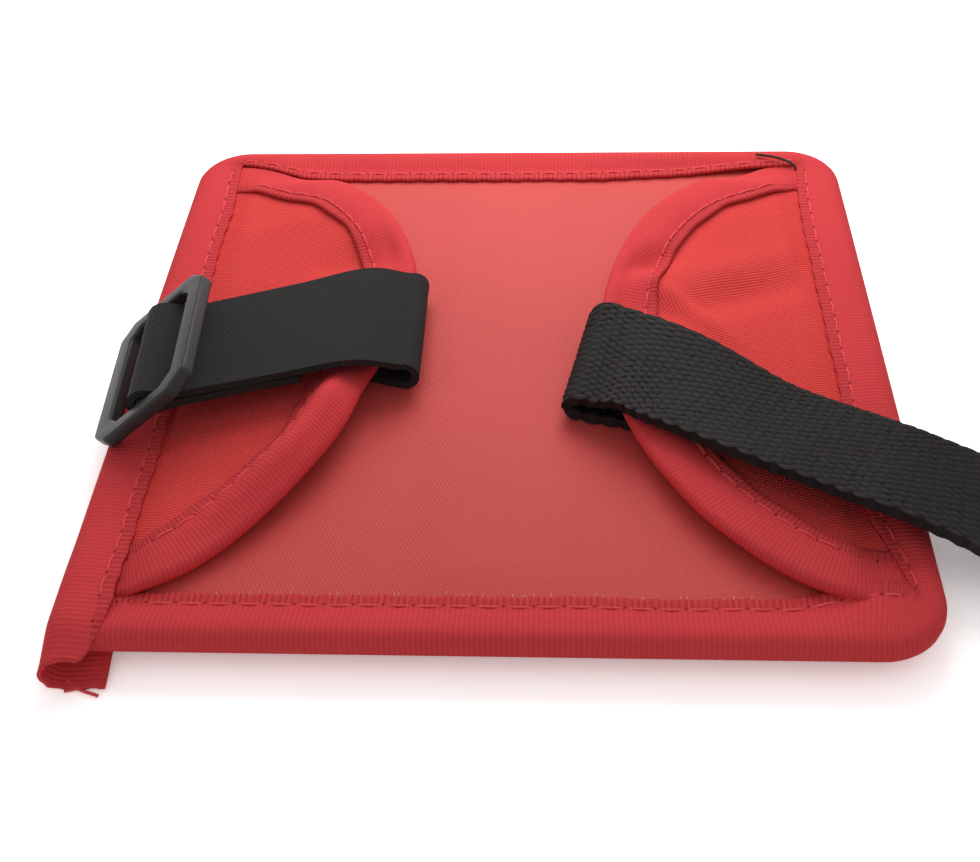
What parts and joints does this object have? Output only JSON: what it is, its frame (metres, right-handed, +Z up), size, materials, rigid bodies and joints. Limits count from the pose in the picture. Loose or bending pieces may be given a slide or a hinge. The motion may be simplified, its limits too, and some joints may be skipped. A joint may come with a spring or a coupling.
{
  "type": "wrist pin cushion",
  "caption": "Flat square padded cloth wrist cushion with a bound edge, folding half-moon wings, an elastic strap with a slider buckle and a webbing strap.",
  "frame": {"origin": "middle of the flat pin face that rests on the table", "axes": "+Z up out of the wrist face, +X towards the webbing's side, +Y away from the raw end of the binding tape"},
  "size_m": [0.1832, 0.1133, 0.0181],
  "materials": {
    "coated_twill": "coated twill, slight sheen",
    "grosgrain_tape": "ribbed woven tape, matt",
    "sewing_thread": "twisted thread",
    "wing_canvas": "plain-weave canvas, matt",
    "pin_face_cloth": "plain-weave cloth, matt",
    "guard_sheet": "plain sheet",
    "batting": "felted fibre",
    "woven_elastic": "fine woven elastic, matt",
    "webbing_weave": "coarse woven webbing",
    "buckle_plastic": "moulded, satin"
  },
  "bodies": {
    "pad": {"back_panel": "coated_twill", "guard_plate": "guard_sheet", "pad_filling": "batting", "face_cover": "pin_face_cloth", "edge_binding": "grosgrain_tape", "edge_seam_thread": "sewing_thread", "left_wing_margin": "wing_canvas", "right_wing_margin": "wing_canvas"},
    "left_wing": {"left_wing_panel": "wing_canvas", "left_wing_binding": "grosgrain_tape", "left_wing_thread": "sewing_thread", "elastic_root": "woven_elastic"},
    "elastic_strap": {"elastic_fold": "woven_elastic", "elastic_run": "woven_elastic", "elastic_tail": "woven_elastic"},
    "buckle_end": {"elastic_loop": "woven_elastic", "slider_buckle": "buckle_plastic"},
    "right_wing": {"right_wing_panel": "wing_canvas", "right_wing_binding": "grosgrain_tape", "right_wing_thread": "sewing_thread", "webbing_root": "webbing_weave"},
    "webbing_strap": {"webbing_fold": "webbing_weave", "webbing_run": "webbing_weave"}
  },
  "joints": [
    {"name": "left_wing_fold", "type": "hinge", "parent": "pad", "child": "left_wing", "pos_m": [-0.0469, 0, 0.00615], "axis": [0, -1, 0], "range_deg": [0, 150]},
    {"name": "elastic_unfold", "type": "hinge", "parent": "left_wing", "child": "elastic_strap", "pos_m": [-0.0127, 0.0026, 0.00755], "axis": [0, -1, 0], "range_deg": [-150, 0], "deforming": ["elastic_fold"]},
    {"name": "buckle_lift", "type": "hinge", "parent": "elastic_strap", "child": "buckle_end", "pos_m": [-0.04147, -0.00565, 0.01215], "axis": [-0.0812, 0.9945, -0.0658], "range_deg": [0, 90]},
    {"name": "right_wing_fold", "type": "hinge", "parent": "pad", "child": "right_wing", "pos_m": [0.0469, 0, 0.00615], "axis": [0, 1, 0], "range_deg": [0, 150]},
    {"name": "webbing_unfold", "type": "hinge", "parent": "right_wing", "child": "webbing_strap", "pos_m": [0.01095, -0.0042, 0.00795], "axis": [0, 1, 0], "range_deg": [-150, 0], "deforming": ["webbing_fold"]}
  ],
  "couplings": [
    {"joint": "elastic_unfold", "follows": "left_wing_fold", "ratio": -1},
    {"joint": "webbing_unfold", "follows": "right_wing_fold", "ratio": -1}
  ]
}
